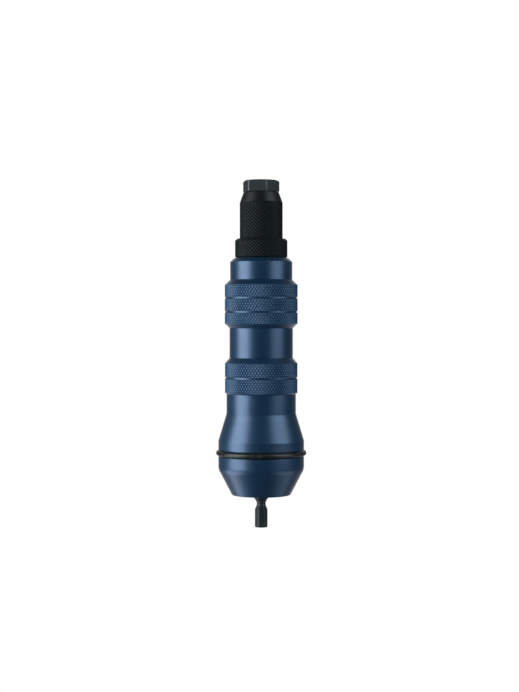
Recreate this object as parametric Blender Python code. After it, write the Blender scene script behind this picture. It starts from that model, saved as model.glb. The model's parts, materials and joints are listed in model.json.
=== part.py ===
# Riveting drill adapter: a screw-driven puller that lets a drill set blind rivets.
# Everything is turned about Z. Z = 0 is the end of the hex shank, and +Z points to the nosepiece.
# A drill turns the spindle; six balls carry the torque to the driven plate and the lead screw; the
# keyed pull sleeve runs back along the screw and takes the jaw case and its three jaws with it.

from math import atan2, cos, hypot, pi, radians, sin, sqrt, tan

import bmesh
import bpy

MM = 0.001

# Fits between pieces
SEAT_GAP = 0.3 * MM         # pieces that seat on each other
SLIDE_GAP = 0.4 * MM        # pieces that slide or turn in each other
MERGE_DISTANCE = 0.001 * MM

# Facets
SHELL_SIDES = 30
SHAFT_SIDES = 18
BORE_SIDES = 10
BALL_SUBDIVISIONS = 2

# Hex shank
SHANK_FLATS = 6.35 * MM
SHANK_HEX_LENGTH = 10.0 * MM
SHANK_END_CHAMFER = 0.6 * MM
SHANK_TURN = radians(5.2)
NECK_RADIUS = 2.44 * MM
NECK_LENGTH = 6.7 * MM
NECK_CENTRE = 3.3 * MM
COLLAR_RADIUS = 4.02 * MM
COLLAR_SHOWN = 0.9 * MM
NECK_REAR_SHARES = (0.85, 0.6, 0.3, 0.0)     # steps of the waist's curve, out from its middle
NECK_FRONT_SHARES = (0.35, 0.65, 0.88, 1.0)
NECK_SHOULDER = 0.8                          # how far the curve climbs towards the hex's corners

# End cap
CAP_FACE_RADIUS = 15.4 * MM
CAP_EDGE_ROUND = 0.7 * MM
CAP_CONE_LENGTH = 15.3 * MM
CAP_RIM_LENGTH = 6.6 * MM
CAP_FLOOR = 4.4 * MM
CAP_RELIEF_DEPTH = 0.8 * MM
CAP_SPIGOT_LENGTH = 5.0 * MM
CAP_SPIGOT_WALL = 2.0 * MM
CAP_SPIGOT_CHAMFER = 0.5 * MM
RING_LIP = 0.6 * MM

# Seam ring
O_RING_SECTION = 3.2 * MM
O_RING_STEP = 1.1 * MM
O_RING_SIDES = 8

# Rear bearing, a small deep-groove ball bearing
BEARING_BORE_RADIUS = 5.0 * MM
BEARING_RADIUS = 13.0 * MM
BEARING_WIDTH = 8.0 * MM
BEARING_RACE_GAP = 3.0 * MM     # between the shoulders of the two races
BEARING_BALL_RADIUS = 2.38 * MM
BEARING_BALLS = 7
CAGE_BACK = 3.5 * MM
CAGE_FRONT = 1.2 * MM
RETAINING_RING_THICKNESS = 1.0 * MM
RETAINING_RING_WIDTH = 2.4 * MM
RETAINING_RING_DEPTH = 1.0 * MM
RETAINING_RING_OPENING = radians(46)
RETAINING_RING_STEPS = 14
RETAINING_EAR = 1.1 * MM
RETAINING_EAR_SHARE = 0.14                   # of the ring's length, at each end

# Ball overload clutch
SPINDLE_SHOULDER_RADIUS = 6.2 * MM
DRIVER_GAP = 0.5 * MM
CLUTCH_RADIUS = 18.2 * MM
CLUTCH_RIM = 2.2 * MM
CLUTCH_BALL_RADIUS = 3.0 * MM
CLUTCH_BALLS = 6
DRIVER_THICKNESS = 5.4 * MM
BALL_SINK = 0.9 * MM
POCKET_FLOOR_SHARE = 0.5
POCKET_SIDE_SHARE = 0.6
PLATE_GAP = 0.9 * MM
DRIVEN_THICKNESS = 5.0 * MM
PLATE_EDGE_CHAMFER = 0.6 * MM
DETENT_DEPTH = 1.5 * MM
DISC_SPRING_RADIUS = 13.5 * MM
DISC_SPRING_THICKNESS = 1.0 * MM
DISC_SPRING_RISE = 1.45 * MM

# Lead screw
SCREW_RADIUS = 7.0 * MM
SCREW_END_CHAMFER = 1.0 * MM
SCREW_RELIEF_DEPTH = 1.0 * MM
SCREW_RELIEF_LENGTH = 2.0 * MM
SCREW_PAST_NUT = 5.5 * MM
PILOT_RADIUS = 3.5 * MM
PILOT_LENGTH = 4.0 * MM
DRIVE_HEX_FLATS = 12.0 * MM
FLANGE_THICKNESS = 4.2 * MM

# Thrust bearing, as wide as the lead screw's flange
THRUST_WASHER_THICKNESS = 1.7 * MM
THRUST_RADIUS = 15.6 * MM
THRUST_BALL_RADIUS = 2.0 * MM
THRUST_BALLS = 8
THRUST_CAGE_THICKNESS = 2.0 * MM
THRUST_CAGE_BAND = 0.9 * MM
RACEWAY_DEPTH = 0.5 * MM
RACEWAY_STEPS = 4

# Rear housing
BELL_WALL = 2.85 * MM
REAR_RIM_LENGTH = 4.8 * MM
FLARE_LENGTH = 15.0 * MM
REAR_NECK_WALL = 3.22 * MM
REAR_NECK_LENGTH = 11.3 * MM
REAR_BAND_HEIGHT = 0.87 * MM
REAR_BAND_LENGTH = 16.3 * MM
REAR_BAND_CHAMFER = 3.1 * MM
CHAMBER_RELIEF = 1.7 * MM
CHAMBER_TAPER = 2.0 * MM
SHOULDER_THICKNESS = 5.8 * MM
BAND_GROOVE_WIDTH = 1.5 * MM
BAND_GROOVE_DEPTH = 0.6 * MM

# Front housing
MID_WALL = 2.24 * MM
MID_LENGTH = 16.0 * MM
FRONT_BAND_HEIGHT = 2.63 * MM
FRONT_BAND_LENGTH = 21.1 * MM
FRONT_BAND_CHAMFER = 3.0 * MM
FRONT_BAND_GROOVES = 2
FRONT_RING_INSET = 0.36 * MM
FRONT_RING_LENGTH = 12.1 * MM
FRONT_CORNER_LENGTH = 2.7 * MM
FRONT_CORNER_INSET = 1.9 * MM
FRONT_CORNER_STEPS = 4
FRONT_SPIGOT_WALL = 2.4 * MM
FRONT_SPIGOT_STANDOFF = 3.6 * MM
BORE_STEP_MARGIN = 1.5 * MM

# Pull sleeve and its key pin
PULL_STROKE = 16.0 * MM
PULL_MARGIN = 1.8 * MM
PULL_SLEEVE_WALL = 2.4 * MM
NUT_LENGTH = 20.0 * MM
KEYWAY_DEPTH = 1.2 * MM
KEY_PIN_RADIUS = 1.5 * MM
KEY_PIN_SETBACK = 3.0 * MM

# Jaw case and what it holds
JAW_CASE_WALL = 1.9 * MM
JAW_CASE_THREAD = 10.0 * MM
JAW_CASE_TAIL = 7.2 * MM
JAW_CASE_CHAMFER = 1.0 * MM
JAW_CASE_LIP = 3.0 * MM
SEAT_THICKNESS = 3.0 * MM
JAW_SPRING_LENGTH = 12.0 * MM
JAW_SPRING_GAP = 1.4 * MM
JAW_SPRING_WIRE = 1.2 * MM
JAW_SPRING_TURNS = 4.5
JAW_SPRING_CLOSING = 0.5     # 1 would lay the end turns flat
SPRING_STEPS = 12
PUSHER_HEAD = 4.2 * MM
PUSHER_TAIL = 6.5 * MM
PUSHER_TAIL_GAP = 0.4 * MM
JAW_COUNT = 3
JAW_LENGTH = 17.0 * MM
JAW_REAR_GAP = 0.6 * MM
JAW_CONE_ANGLE = radians(10)
JAW_BORE_RADIUS = 1.7 * MM
JAW_SPLIT = 1.0 * MM
JAW_TEETH = 7
JAW_TOOTH_DEPTH = 0.4 * MM
JAW_STEPS = 4
MANDREL_RADIUS = 1.6 * MM

# Nose sleeve, lock ring and nosepiece
NOSE_TAIL_WALL = 1.6 * MM
NOSE_SLEEVE_WALL = 1.96 * MM
NOSE_TAIL_MARGIN = 1.5 * MM
NOSE_RUN_MARGIN = 3.5 * MM
NOSE_CONE_LENGTH = 5.6 * MM
NOSE_TIP_INSET = 2.09 * MM
NOSE_TIP_WALL = 1.87 * MM
LOCK_RING_WALL = 2.69 * MM
LOCK_RING_LENGTH = 10.4 * MM
LOCK_RING_CHAMFER = 0.9 * MM
NOSEPIECE_THREAD_LENGTH = 12.6 * MM
NOSEPIECE_FLATS = 18.0 * MM
NOSEPIECE_HEX_LENGTH = 6.3 * MM
NOSEPIECE_CHAMFER_SLOPE = tan(radians(32))
NOSEPIECE_TOP_INSET = 0.25 * MM
NOSEPIECE_TUBE_WALL = 1.6 * MM
NOSEPIECE_TUBE_GAP = 0.68 * MM
NOSEPIECE_MOUTH = 0.8 * MM
NOSEPIECE_TURN = radians(-13.3)

# Finishes: colour, roughness, metallic
BLUE_ANODISED = ("blue_anodised", (0.045, 0.095, 0.170), 0.38, 0.85)
BLACK_STEEL = ("black_oxide_steel", (0.030, 0.032, 0.034), 0.45, 0.60)
BRIGHT_STEEL = ("ground_steel", (0.55, 0.56, 0.58), 0.25, 1.00)
SPRING_STEEL = ("spring_steel", (0.30, 0.31, 0.33), 0.35, 1.00)
BRONZE = ("cage_bronze", (0.50, 0.33, 0.16), 0.40, 1.00)
RUBBER = ("black_rubber", (0.012, 0.012, 0.013), 0.55, 0.00)

# Stations along the axis, from the shank to the nose
cap_rear = SHANK_HEX_LENGTH + NECK_LENGTH + COLLAR_SHOWN
bearing_seat = cap_rear + CAP_FLOOR
bearing_rear = bearing_seat + SEAT_GAP
bearing_front = bearing_rear + BEARING_WIDTH
bearing_middle = bearing_rear + BEARING_WIDTH / 2
ring_rear = bearing_front + SEAT_GAP
ring_slot_front = ring_rear + RETAINING_RING_THICKNESS + SEAT_GAP
chamber_floor = ring_slot_front + RING_LIP
driver_rear = chamber_floor + DRIVER_GAP
driver_front = driver_rear + DRIVER_THICKNESS
clutch_ball_height = driver_front - BALL_SINK
driven_rear = driver_front + PLATE_GAP
driven_front = driven_rear + DRIVEN_THICKNESS
disc_spring_height = DISC_SPRING_THICKNESS + DISC_SPRING_RISE
first_disc_rear = driven_front + SEAT_GAP
second_disc_front = first_disc_rear + 2 * disc_spring_height + SEAT_GAP
flange_rear = second_disc_front + SEAT_GAP
flange_front = flange_rear + FLANGE_THICKNESS
rear_washer_rear = flange_front + SEAT_GAP
thrust_ball_height = (rear_washer_rear + THRUST_WASHER_THICKNESS - RACEWAY_DEPTH + SEAT_GAP
                      + THRUST_BALL_RADIUS)
front_washer_rear = thrust_ball_height + THRUST_BALL_RADIUS + SEAT_GAP - RACEWAY_DEPTH
front_washer_front = front_washer_rear + THRUST_WASHER_THICKNESS
shoulder_rear = front_washer_front + SEAT_GAP
shoulder_front = shoulder_rear + SHOULDER_THICKNESS

cone_end = cap_rear + CAP_CONE_LENGTH
groove_rear = cone_end + CAP_RIM_LENGTH
o_ring_height = groove_rear + SEAT_GAP + O_RING_SECTION / 2
rear_housing_rear = o_ring_height + O_RING_SECTION / 2 + SEAT_GAP
cap_shoulder = rear_housing_rear - SEAT_GAP
cap_front = cap_shoulder + CAP_SPIGOT_LENGTH
chamber_end = cap_front + SEAT_GAP + CHAMBER_RELIEF
flare_rear = rear_housing_rear + REAR_RIM_LENGTH
flare_front = flare_rear + FLARE_LENGTH
rear_band_rear = flare_front + REAR_NECK_LENGTH
rear_band_front = rear_band_rear + REAR_BAND_LENGTH
rear_housing_front = rear_band_front + REAR_BAND_CHAMFER

front_housing_step = rear_housing_front + SEAT_GAP
front_spigot_rear = shoulder_front + FRONT_SPIGOT_STANDOFF
front_band_rear = front_housing_step + MID_LENGTH + FRONT_BAND_CHAMFER
front_band_front = front_band_rear + FRONT_BAND_LENGTH
front_ring_rear = front_band_front + FRONT_BAND_CHAMFER
front_housing_front = front_ring_rear + FRONT_RING_LENGTH

pull_rear = shoulder_front + PULL_STROKE + PULL_MARGIN
nut_front = pull_rear + NUT_LENGTH
screw_front = nut_front + SCREW_PAST_NUT
key_pin_height = pull_rear + KEY_PIN_SETBACK
spring_seat_rear = screw_front + PULL_STROKE + SLIDE_GAP + PULL_MARGIN
jaw_case_rear = spring_seat_rear - JAW_CASE_TAIL
pull_front = jaw_case_rear + JAW_CASE_THREAD
bore_step = pull_front + BORE_STEP_MARGIN
jaw_spring_rear = spring_seat_rear + SEAT_THICKNESS + SEAT_GAP
jaw_spring_front = jaw_spring_rear + JAW_SPRING_LENGTH
pusher_head_rear = jaw_spring_front + SEAT_GAP
pusher_front = pusher_head_rear + PUSHER_HEAD
jaw_rear = pusher_front + SEAT_GAP
jaw_front = jaw_rear + JAW_LENGTH
nosepiece_rear = jaw_front + SEAT_GAP
jaw_case_front = jaw_front + JAW_CASE_LIP
nose_tail_rear = bore_step + NOSE_TAIL_MARGIN
lock_ring_rear = front_housing_front + 2 * SEAT_GAP
lock_ring_front = lock_ring_rear + LOCK_RING_LENGTH
nose_sleeve_shoulder = lock_ring_front + SEAT_GAP
nose_bore_end = jaw_case_front + NOSE_RUN_MARGIN
nose_front = nose_bore_end + NOSEPIECE_THREAD_LENGTH
nose_cone_rear = nose_front - NOSE_CONE_LENGTH
nosepiece_hex_rear = nose_front + SEAT_GAP
nosepiece_front = nosepiece_hex_rear + NOSEPIECE_HEX_LENGTH

# Radii that follow from what fits inside, from the mandrel outwards
nosepiece_tube_radius = MANDREL_RADIUS + NOSEPIECE_TUBE_WALL
jaw_case_lip_bore = nosepiece_tube_radius + NOSEPIECE_TUBE_GAP
jaw_cone_rear_radius = jaw_case_lip_bore + (JAW_LENGTH + JAW_CASE_LIP) * tan(JAW_CONE_ANGLE)
jaw_rear_radius = jaw_cone_rear_radius - SLIDE_GAP / cos(JAW_CONE_ANGLE)
jaw_case_bore = jaw_rear_radius + JAW_REAR_GAP
jaw_spring_radius = jaw_case_bore - JAW_SPRING_GAP - JAW_SPRING_WIRE / 2
jaw_case_radius = jaw_case_bore + JAW_CASE_WALL
pull_hollow_radius = jaw_case_radius + SEAT_GAP
pull_sleeve_radius = pull_hollow_radius + PULL_SLEEVE_WALL
keyway_floor = pull_sleeve_radius - KEYWAY_DEPTH
nose_bore_radius = jaw_case_radius + SLIDE_GAP
nose_tail_radius = nose_bore_radius + NOSE_TAIL_WALL
nose_sleeve_radius = nose_bore_radius + NOSE_SLEEVE_WALL
nose_tip_radius = nose_sleeve_radius - NOSE_TIP_INSET
nosepiece_thread_bore = nose_tip_radius - NOSE_TIP_WALL
nosepiece_thread_radius = nosepiece_thread_bore - SEAT_GAP
nose_thread_bore = nose_tail_radius + SEAT_GAP
lock_ring_radius = nose_thread_bore + LOCK_RING_WALL
front_bore_radius = pull_sleeve_radius + SLIDE_GAP
front_spigot_radius = front_bore_radius + FRONT_SPIGOT_WALL
rear_bore_radius = front_spigot_radius + SEAT_GAP
mid_radius = rear_bore_radius + MID_WALL
front_band_radius = mid_radius + FRONT_BAND_HEIGHT
front_ring_radius = mid_radius - FRONT_RING_INSET
screw_bore_radius = SCREW_RADIUS + SEAT_GAP
shoulder_bore_radius = SCREW_RADIUS + 2 * SLIDE_GAP
thrust_pitch_radius = (shoulder_bore_radius + THRUST_RADIUS) / 2
thrust_bore_radius = THRUST_RADIUS + SLIDE_GAP
rear_neck_radius = max(thrust_bore_radius, rear_bore_radius) + REAR_NECK_WALL
rear_band_radius = rear_neck_radius + REAR_BAND_HEIGHT
drive_hex_radius = DRIVE_HEX_FLATS / 2 / cos(pi / 6)
clutch_pitch_radius = CLUTCH_RADIUS - CLUTCH_RIM - CLUTCH_BALL_RADIUS
chamber_radius = max(CLUTCH_RADIUS + SLIDE_GAP, thrust_bore_radius)
cap_spigot_radius = chamber_radius + CAP_SPIGOT_WALL
bell_radius = cap_spigot_radius + SEAT_GAP + BELL_WALL
groove_floor_radius = cap_spigot_radius + O_RING_STEP
o_ring_radius = groove_floor_radius + SEAT_GAP + O_RING_SECTION / 2
bearing_seat_radius = BEARING_RADIUS + SEAT_GAP
bearing_pitch_radius = (BEARING_BORE_RADIUS + BEARING_RADIUS) / 2
inner_race_shoulder = bearing_pitch_radius - BEARING_RACE_GAP / 2
outer_race_shoulder = bearing_pitch_radius + BEARING_RACE_GAP / 2
collar_bore_radius = COLLAR_RADIUS + SEAT_GAP
journal_radius = BEARING_BORE_RADIUS - SEAT_GAP


def clear_scene():
    for item in list(bpy.data.objects):
        bpy.data.objects.remove(item, do_unlink=True)


def make_material(finish):
    name, colour, roughness, metallic = finish
    material = bpy.data.materials.new(name)
    material.use_nodes = True
    shader = material.node_tree.nodes["Principled BSDF"]
    shader.inputs["Base Color"].default_value = (*colour, 1.0)
    shader.inputs["Roughness"].default_value = roughness
    shader.inputs["Metallic"].default_value = metallic
    material.diffuse_color = (*colour, 1.0)
    return material


def make_group(name):
    group = bpy.data.objects.new(name, None)
    group.empty_display_size = 10 * MM
    bpy.context.scene.collection.objects.link(group)
    return group


def add_object(name, data, finish, group=None, height=0.0, turn=0.0, radius=0.0):
    # The object stands on the axis, or at a radius from it in the direction of its turn.
    piece = bpy.data.objects.new(name, data)
    bpy.context.scene.collection.objects.link(piece)
    piece.location = (radius * cos(turn), radius * sin(turn), height)
    piece.rotation_euler = (0.0, 0.0, turn)
    piece.parent = group
    if finish is not None and not data.materials:
        data.materials.append(make_material(finish))
    return piece


def finish_mesh(shape, name, crease=radians(35)):
    bmesh.ops.remove_doubles(shape, verts=shape.verts, dist=MERGE_DISTANCE)
    bmesh.ops.recalc_face_normals(shape, faces=shape.faces)
    mesh = bpy.data.meshes.new(name)
    shape.to_mesh(mesh)
    shape.free()
    mesh.shade_smooth()
    mesh.set_sharp_from_angle(angle=crease)
    return mesh


def spin_outline(outline, sides):
    # Outline points are (radius, height). An outline that starts and ends on the axis stays open.
    shape = bmesh.new()
    corners = [shape.verts.new((radius, 0.0, height)) for radius, height in outline]
    edges = [shape.edges.new(pair) for pair in zip(corners, corners[1:])]
    if outline[0][0] > 0.0 or outline[-1][0] > 0.0:
        edges.append(shape.edges.new((corners[-1], corners[0])))
    bmesh.ops.spin(shape, geom=corners + edges, axis=(0, 0, 1), cent=(0, 0, 0),
                   angle=2 * pi, steps=sides)
    bmesh.ops.remove_doubles(shape, verts=shape.verts, dist=MERGE_DISTANCE)
    return shape


def hex_reach(across_flats, angle):
    # Distance from the axis to a hexagon's side, with a corner at angle zero.
    within = angle % (pi / 3)
    return across_flats / 2 / cos(within - pi / 6)


def cut_flats(shape, across_flats, low, high, chamfer_height=None, slope=0.0):
    # Rings that were turned to the hexagon's corners are pulled in to its flats. On the ring of a
    # turned chamfer each point also climbs the chamfer's cone, which leaves the usual arcs.
    corner = across_flats / 2 / cos(pi / 6)
    for vert in shape.verts:
        if not low - MERGE_DISTANCE <= vert.co.z <= high + MERGE_DISTANCE:
            continue
        radius = hypot(vert.co.x, vert.co.y)
        reach = hex_reach(across_flats, atan2(vert.co.y, vert.co.x))
        if radius <= reach or radius > corner + MERGE_DISTANCE:
            continue
        vert.co.x *= reach / radius
        vert.co.y *= reach / radius
        if chamfer_height is not None and abs(vert.co.z - chamfer_height) < MERGE_DISTANCE:
            vert.co.z += (radius - reach) * slope


def arc(centre_radius, centre_height, radius, start, end, steps):
    points = []
    for step in range(steps + 1):
        angle = start + (end - start) * step / steps
        points.append((centre_radius + radius * cos(angle), centre_height + radius * sin(angle)))
    return points


def lower(outline, datum):
    # Moves an outline so that its datum height becomes the object's own zero.
    return [(radius, height - datum) for radius, height in outline]


def turned(name, outline, finish, group, datum, sides=SHELL_SIDES, turn=0.0):
    shape = spin_outline(lower(outline, datum), sides)
    return add_object(name, finish_mesh(shape, name), finish, group, datum, turn)


def make_cutter(name, shape, group, height=0.0, turn=0.0):
    cutter = add_object(name, finish_mesh(shape, name), None, group, height, turn)
    cutter.hide_render = True
    cutter.display_type = "WIRE"
    return cutter


def cut(piece, cutter):
    modifier = piece.modifiers.new("cut_" + cutter.name, "BOOLEAN")
    modifier.operation = "DIFFERENCE"
    modifier.solver = "EXACT"
    modifier.object = cutter


def copies_on_circle(shape, count, radius):
    # Repeats a cutter's shape around the axis as separate closed bodies in one mesh.
    first = list(shape.verts) + list(shape.edges) + list(shape.faces)
    bmesh.ops.translate(shape, verts=shape.verts, vec=(radius, 0.0, 0.0))
    for index in range(1, count):
        copy = bmesh.ops.duplicate(shape, geom=first)["geom"]
        verts = [item for item in copy if isinstance(item, bmesh.types.BMVert)]
        turned_by = rotation_about_axis(2 * pi * index / count)
        for vert in verts:
            vert.co.x, vert.co.y = turned_by(vert.co.x, vert.co.y)
    return shape


def rotation_about_axis(angle):
    def rotate(x, y):
        return x * cos(angle) - y * sin(angle), x * sin(angle) + y * cos(angle)
    return rotate


def v_groove(radius, height):
    half = BAND_GROOVE_WIDTH / 2
    return [(radius, height - half), (radius - BAND_GROOVE_DEPTH, height), (radius, height + half)]


def ball_mesh(name, radius):
    shape = bmesh.new()
    bmesh.ops.create_icosphere(shape, subdivisions=BALL_SUBDIVISIONS, radius=radius)
    return finish_mesh(shape, name, crease=pi)


def add_balls(prefix, count, radius, pitch_radius, height, group):
    mesh = ball_mesh(prefix, radius)
    for index in range(count):
        add_object(f"{prefix}_{index + 1}", mesh, BRIGHT_STEEL, group, height,
                   2 * pi * index / count, pitch_radius)


def add_end_cap(group):
    slot_radius = bearing_seat_radius + RETAINING_RING_DEPTH
    relief_radius = outer_race_shoulder - SEAT_GAP
    outline = [(collar_bore_radius, cap_rear)]
    outline += arc(CAP_FACE_RADIUS, cap_rear + CAP_EDGE_ROUND, CAP_EDGE_ROUND, -pi / 2, 0, 2)
    outline += [
        (bell_radius, cone_end),
        (bell_radius, groove_rear),
        (groove_floor_radius, groove_rear),
        (groove_floor_radius, cap_shoulder),
        (cap_spigot_radius, cap_shoulder),
        (cap_spigot_radius, cap_front - CAP_SPIGOT_CHAMFER),
        (cap_spigot_radius - CAP_SPIGOT_CHAMFER, cap_front),
        (chamber_radius, cap_front),
        (chamber_radius, chamber_floor),
        (bearing_seat_radius, chamber_floor),
        (bearing_seat_radius, ring_slot_front),
        (slot_radius, ring_slot_front),
        (slot_radius, bearing_front),
        (bearing_seat_radius, bearing_front),
        (bearing_seat_radius, bearing_seat),
        (relief_radius, bearing_seat),
        (relief_radius, bearing_seat - CAP_RELIEF_DEPTH),
        (collar_bore_radius, bearing_seat - CAP_RELIEF_DEPTH),
    ]
    turned("end_cap", outline, BLUE_ANODISED, group, cap_rear)


def add_seam_ring(group):
    outline = arc(o_ring_radius, o_ring_height, O_RING_SECTION / 2, 0, 2 * pi, O_RING_SIDES)[:-1]
    turned("seam_o_ring", outline, RUBBER, group, o_ring_height)


def add_rear_housing(group):
    spigot_bore = cap_spigot_radius + SEAT_GAP
    outline = [
        (spigot_bore, rear_housing_rear),
        (bell_radius, rear_housing_rear),
        (bell_radius, flare_rear),
        (rear_neck_radius, flare_front),
        (rear_neck_radius, rear_band_rear),
        (rear_band_radius, rear_band_rear),
    ]
    outline += v_groove(rear_band_radius, (rear_band_rear + rear_band_front) / 2)
    outline += [
        (rear_band_radius, rear_band_front),
        (mid_radius, rear_housing_front),
        (rear_bore_radius, rear_housing_front),
        (rear_bore_radius, shoulder_front),
        (shoulder_bore_radius, shoulder_front),
        (shoulder_bore_radius, shoulder_rear),
        (thrust_bore_radius, shoulder_rear),
        (thrust_bore_radius, chamber_end + CHAMBER_TAPER),
        (chamber_radius, chamber_end),
        (chamber_radius, cap_front + SEAT_GAP),
        (spigot_bore, cap_front + SEAT_GAP),
    ]
    turned("rear_housing", outline, BLUE_ANODISED, group, rear_housing_rear)


def add_front_housing(group):
    outline = [
        (front_bore_radius, front_spigot_rear),
        (front_spigot_radius, front_spigot_rear),
        (front_spigot_radius, front_housing_step),
        (mid_radius, front_housing_step),
        (mid_radius, front_housing_step + MID_LENGTH),
        (front_band_radius, front_band_rear),
    ]
    for groove in range(1, FRONT_BAND_GROOVES + 1):
        share = groove / (FRONT_BAND_GROOVES + 1)
        outline += v_groove(front_band_radius, front_band_rear + FRONT_BAND_LENGTH * share)
    outline += [
        (front_band_radius, front_band_front),
        (front_ring_radius, front_ring_rear),
    ]
    for step in range(FRONT_CORNER_STEPS + 1):
        angle = pi / 2 * step / FRONT_CORNER_STEPS
        outline.append((front_ring_radius - FRONT_CORNER_INSET * (1 - cos(angle)),
                        front_housing_front - FRONT_CORNER_LENGTH * (1 - sin(angle))))
    outline += [
        (nose_thread_bore, front_housing_front),
        (nose_thread_bore, bore_step),
        (front_bore_radius, bore_step),
    ]
    housing = turned("front_housing", outline, BLUE_ANODISED, group, front_spigot_rear)
    drill = bmesh.new()
    reach = front_spigot_radius - front_bore_radius + 4 * SLIDE_GAP
    bmesh.ops.create_cone(drill, cap_ends=True, segments=BORE_SIDES, depth=reach,
                          radius1=KEY_PIN_RADIUS + SEAT_GAP, radius2=KEY_PIN_RADIUS + SEAT_GAP)
    lay_along_x(drill, (front_spigot_radius + front_bore_radius) / 2)
    cut(housing, make_cutter("key_pin_drill", drill, group, key_pin_height))


def lay_along_x(shape, radius):
    # Turns a shape that was made along Z to lie along X, centred at a radius from the axis.
    for vert in shape.verts:
        vert.co = (vert.co.z + radius, vert.co.y, -vert.co.x)


def add_key_pin(group):
    inner = keyway_floor + SEAT_GAP
    outer = front_spigot_radius - SEAT_GAP / 2
    shape = bmesh.new()
    bmesh.ops.create_cone(shape, cap_ends=True, segments=BORE_SIDES, depth=outer - inner,
                          radius1=KEY_PIN_RADIUS, radius2=KEY_PIN_RADIUS)
    lay_along_x(shape, (inner + outer) / 2)
    mesh = finish_mesh(shape, "anti_rotation_pin")
    add_object("anti_rotation_pin", mesh, BRIGHT_STEEL, group, key_pin_height)


def add_rear_bearing(fixed, turning, cage_group):
    groove = BEARING_BALL_RADIUS + SEAT_GAP
    track_half = sqrt(groove ** 2 - (BEARING_RACE_GAP / 2) ** 2)
    inner_angle = atan2(track_half, -BEARING_RACE_GAP / 2)
    outer_angle = atan2(track_half, BEARING_RACE_GAP / 2)
    outer_race = [
        (BEARING_RADIUS, bearing_rear),
        (BEARING_RADIUS, bearing_front),
        (outer_race_shoulder, bearing_front),
    ]
    outer_race += arc(bearing_pitch_radius, bearing_middle, groove, outer_angle, -outer_angle,
                      RACEWAY_STEPS)
    outer_race.append((outer_race_shoulder, bearing_rear))
    turned("rear_bearing_outer_race", outer_race, BRIGHT_STEEL, fixed, bearing_rear, SHAFT_SIDES)
    inner_race = [
        (BEARING_BORE_RADIUS, bearing_front),
        (BEARING_BORE_RADIUS, bearing_rear),
        (inner_race_shoulder, bearing_rear),
    ]
    inner_race += arc(bearing_pitch_radius, bearing_middle, groove, -inner_angle,
                      inner_angle - 2 * pi, RACEWAY_STEPS)
    inner_race.append((inner_race_shoulder, bearing_front))
    turned("rear_bearing_inner_race", inner_race, BRIGHT_STEEL, turning, bearing_rear, SHAFT_SIDES)
    crown = [
        (inner_race_shoulder + SLIDE_GAP, bearing_middle - CAGE_BACK),
        (outer_race_shoulder - SLIDE_GAP, bearing_middle - CAGE_BACK),
        (outer_race_shoulder - SLIDE_GAP, bearing_middle + CAGE_FRONT),
        (inner_race_shoulder + SLIDE_GAP, bearing_middle + CAGE_FRONT),
    ]
    cage = turned("rear_bearing_cage", crown, BRONZE, cage_group, bearing_middle,
                  4 * BEARING_BALLS)
    pocket = bmesh.new()
    bmesh.ops.create_uvsphere(pocket, u_segments=BORE_SIDES, v_segments=BORE_SIDES // 2, radius=groove)
    copies_on_circle(pocket, BEARING_BALLS, bearing_pitch_radius)
    cut(cage, make_cutter("rear_cage_pockets", pocket, cage_group, bearing_middle))
    add_balls("rear_bearing_ball", BEARING_BALLS, BEARING_BALL_RADIUS, bearing_pitch_radius,
              bearing_middle, cage_group)


def add_retaining_ring(group):
    # An open spring ring whose two ends widen inwards into ears.
    outer = bearing_seat_radius + RETAINING_RING_DEPTH - SEAT_GAP
    inner = outer - RETAINING_RING_WIDTH
    outer_side = []
    inner_side = []
    for step in range(RETAINING_RING_STEPS + 1):
        share = step / RETAINING_RING_STEPS
        angle = RETAINING_RING_OPENING / 2 + (2 * pi - RETAINING_RING_OPENING) * share
        at_end = min(share, 1 - share) < RETAINING_EAR_SHARE
        inside = inner - RETAINING_EAR if at_end else inner
        outer_side.append((outer * cos(angle), outer * sin(angle)))
        inner_side.append((inside * cos(angle), inside * sin(angle)))
    shape = bmesh.new()
    base = [shape.verts.new((x, y, 0.0)) for x, y in outer_side + inner_side[::-1]]
    face = shape.faces.new(base)
    raised = bmesh.ops.extrude_face_region(shape, geom=[face])["geom"]
    lifted = [item for item in raised if isinstance(item, bmesh.types.BMVert)]
    bmesh.ops.translate(shape, verts=lifted, vec=(0.0, 0.0, RETAINING_RING_THICKNESS))
    mesh = finish_mesh(shape, "bearing_retaining_ring")
    add_object("bearing_retaining_ring", mesh, SPRING_STEEL, group, ring_rear)


def neck_curve():
    # The waist behind the hex is a parabola on each side of its narrowest point.
    hex_corner = SHANK_FLATS / 2 / cos(pi / 6)
    narrow = SHANK_HEX_LENGTH + NECK_CENTRE
    rear = SHANK_HEX_LENGTH
    front = SHANK_HEX_LENGTH + NECK_LENGTH
    points = []
    for share in NECK_REAR_SHARES:
        climb = (hex_corner - NECK_RADIUS) * NECK_SHOULDER
        points.append((NECK_RADIUS + climb * share ** 2,
                       narrow - (narrow - rear) * share))
    for share in NECK_FRONT_SHARES:
        points.append((NECK_RADIUS + (COLLAR_RADIUS - NECK_RADIUS) * share ** 2,
                       narrow + (front - narrow) * share))
    return points


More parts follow.
